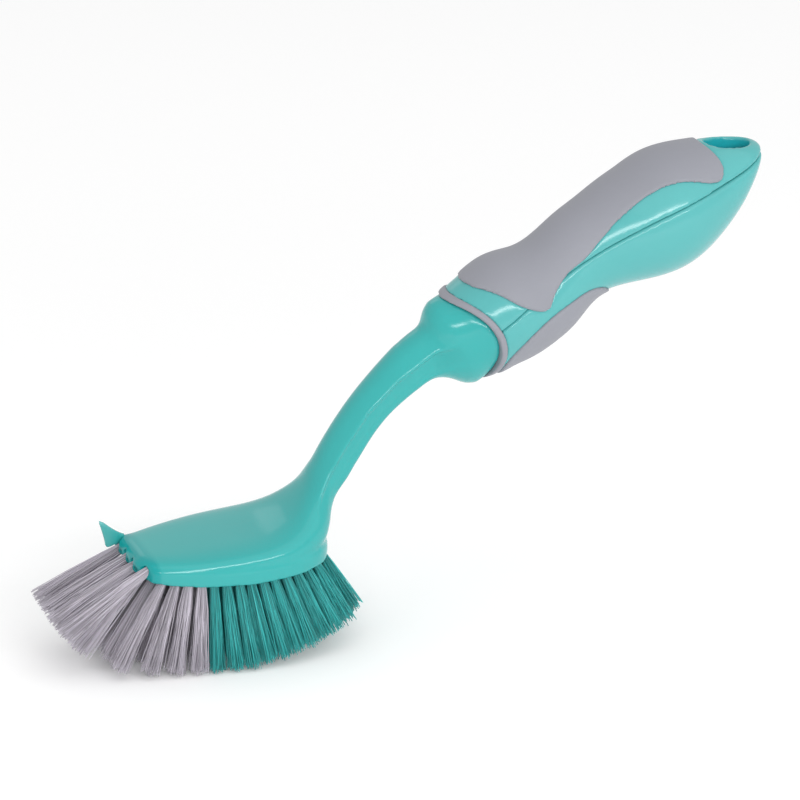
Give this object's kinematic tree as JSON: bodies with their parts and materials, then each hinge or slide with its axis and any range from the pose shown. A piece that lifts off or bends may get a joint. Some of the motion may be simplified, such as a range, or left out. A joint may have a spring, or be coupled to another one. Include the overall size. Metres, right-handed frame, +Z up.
{
  "type": "dish brush",
  "caption": "Dish brush with a level bristle head, a curved neck, a swelling handle with soft grips, a scraper horn and a hanging hole.",
  "frame": {"origin": "centre of the bounding box in plan, at the lowest bristle tips", "axes": "+X from the bristle head towards the handle's end, +Y across the head towards the scraper, +Z up with the bristles down"},
  "size_m": [0.2444, 0.0534, 0.1524],
  "materials": {
    "body_plastic": "glossy moulded",
    "shell_plastic": "glossy moulded",
    "soft_grip": "matte soft elastomer",
    "grey_bristle": "drawn filament",
    "teal_bristle": "drawn filament",
    "anchor_metal": "stamped plate"
  },
  "bodies": {
    "root": {"bottom_grip": "soft_grip", "brush_body": "body_plastic", "collar_rim": "soft_grip", "grey_tuft_row_1": "grey_bristle", "grey_tuft_row_2": "grey_bristle", "grey_tuft_row_3": "grey_bristle", "grey_tuft_row_4": "grey_bristle", "grey_tuft_row_5": "grey_bristle", "grey_tuft_row_6": "grey_bristle", "handle_lower_shell": "shell_plastic", "handle_upper_shell": "shell_plastic", "teal_tuft_row_1": "teal_bristle", "teal_tuft_row_10": "teal_bristle", "teal_tuft_row_11": "teal_bristle", "teal_tuft_row_2": "teal_bristle", "teal_tuft_row_3": "teal_bristle", "teal_tuft_row_4": "teal_bristle", "teal_tuft_row_5": "teal_bristle", "teal_tuft_row_6": "teal_bristle", "teal_tuft_row_7": "teal_bristle", "teal_tuft_row_8": "teal_bristle", "teal_tuft_row_9": "teal_bristle", "top_grip": "soft_grip", "tuft_anchors": "anchor_metal"}
  },
  "joints": []
}
